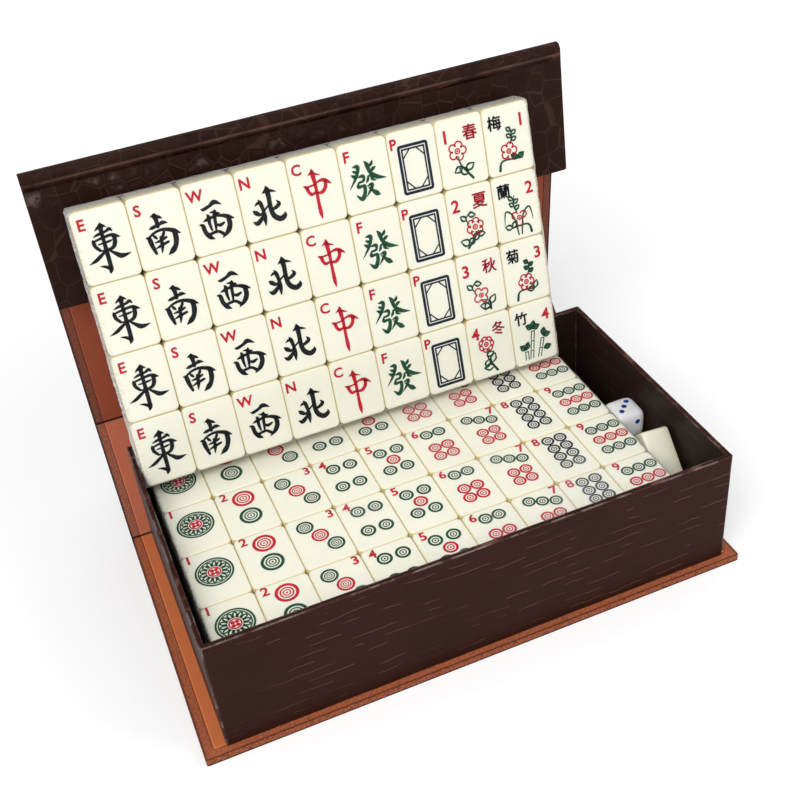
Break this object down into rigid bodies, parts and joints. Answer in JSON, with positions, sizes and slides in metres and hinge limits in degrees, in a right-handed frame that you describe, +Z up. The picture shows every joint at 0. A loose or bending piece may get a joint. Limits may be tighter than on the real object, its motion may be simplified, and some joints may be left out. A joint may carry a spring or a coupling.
{
  "type": "mahjong case",
  "caption": "Book-style board case with a hinged leatherette cover and folding front flap, an open tray, shrink-wrapped packs of mahjong tiles, loose blank tiles and a die.",
  "frame": {"origin": "centre of the base's underside, on the surface the case stands on", "axes": "+X to the right along the case's width, +Y to the back where the cover is hinged, +Z up"},
  "size_m": [0.237, 0.1752, 0.1766],
  "materials": {
    "leatherette": "dark brown, crocodile embossed, semi-gloss",
    "lining": "tan, satin",
    "greyboard": "raw board",
    "tray_lining": "dark brown, satin",
    "film": "clear, shrunk, wrinkled",
    "tile": "ivory, glossy",
    "die_plastic": "white, glossy, blue pips"
  },
  "bodies": {
    "case_base": {"base_wrap": "leatherette", "base_board": "greyboard", "base_lining": "lining", "tray_wrap": "leatherette", "tray_floor_board": "greyboard", "tray_floor_lining": "tray_lining", "tray_wall_lining": "tray_lining", "tray_front_board": "greyboard", "tray_back_board": "greyboard", "tray_left_board": "greyboard", "tray_right_board": "greyboard"},
    "hinge_strip": {"base_hinge_strip": "leatherette"},
    "spine": {"spine_wrap": "leatherette", "spine_board": "greyboard", "spine_lining": "lining"},
    "lid": {"lid_wrap": "leatherette", "lid_board": "greyboard", "lid_lining": "lining"},
    "flap": {"flap_wrap": "leatherette", "flap_board": "greyboard", "flap_lining": "lining"},
    "character_pack": {"character_film": "film", "character_tiles": "tile"},
    "bamboo_pack": {"bamboo_film": "film", "bamboo_tiles": "tile"},
    "dots_pack": {"dots_film": "film", "dot_1_tiles": "tile", "dot_2_tiles": "tile", "dot_3_tiles": "tile", "dot_4_tiles": "tile", "dot_5_tiles": "tile", "dot_6_tiles": "tile", "dot_7_tiles": "tile", "dot_8_tiles": "tile", "dot_9_tiles": "tile"},
    "honours_pack": {"honours_film": "film", "east_wind_tiles": "tile", "south_wind_tiles": "tile", "west_wind_tiles": "tile", "north_wind_tiles": "tile", "red_dragon_tiles": "tile", "green_dragon_tiles": "tile", "white_dragon_tiles": "tile", "season_tiles": "tile", "flower_tiles": "tile"},
    "lower_blank": {"blank_tile_under": "tile"},
    "upper_blank": {"blank_tile_askew": "tile"},
    "die": {"die": "die_plastic"}
  },
  "joints": [
    {"name": "cover_leans_back", "type": "hinge", "parent": "case_base", "child": "hinge_strip", "pos_m": [0, 0.0671, 0.003], "axis": [-1, 0, 0], "range_deg": [0, 45]},
    {"name": "spine_fold", "type": "hinge", "parent": "hinge_strip", "child": "spine", "pos_m": [0, 0.0671, 0.003], "axis": [-1, 0, 0], "range_deg": [-43, 0]},
    {"name": "lid_fold", "type": "hinge", "parent": "spine", "child": "lid", "pos_m": [0, 0.10516, 0.04381], "axis": [-1, 0, 0], "range_deg": [-41.71, 0]},
    {"name": "flap_fold", "type": "hinge", "parent": "lid", "child": "flap", "pos_m": [0, 0.09304, 0.17445], "axis": [-1, 0, 0], "range_deg": [0, 116.81]},
    {"name": "character_pack_lift", "type": "slide", "parent": "case_base", "child": "character_pack", "axis": [0, 0, 1], "range_m": [0, 0.06]},
    {"name": "bamboo_pack_lift", "type": "slide", "parent": "character_pack", "child": "bamboo_pack", "axis": [0, 0, 1], "range_m": [0, 0.045]},
    {"name": "dots_pack_lift", "type": "slide", "parent": "bamboo_pack", "child": "dots_pack", "axis": [0, 0, 1], "range_m": [0, 0.035]},
    {"name": "honours_pack_clear", "type": "slide", "parent": "dots_pack", "child": "honours_pack", "axis": [0, -0.9397, 0.342], "range_m": [0, 0.2401]},
    {"name": "lower_blank_lift", "type": "slide", "parent": "case_base", "child": "lower_blank", "axis": [0, 0, 1], "range_m": [0, 0.06]},
    {"name": "upper_blank_lift", "type": "slide", "parent": "lower_blank", "child": "upper_blank", "axis": [0, 0, 1], "range_m": [0, 0.05]},
    {"name": "die_lift", "type": "slide", "parent": "lower_blank", "child": "die", "axis": [0, 0, 1], "range_m": [0, 0.04]}
  ],
  "couplings": [
    {"joint": "lid_fold", "follows": "spine_fold", "ratio": 0.96977},
    {"joint": "flap_fold", "follows": "spine_fold", "ratio": -2.7163},
    {"joint": "honours_pack_clear", "follows": "spine_fold", "m_per_rad": -0.31979}
  ]
}
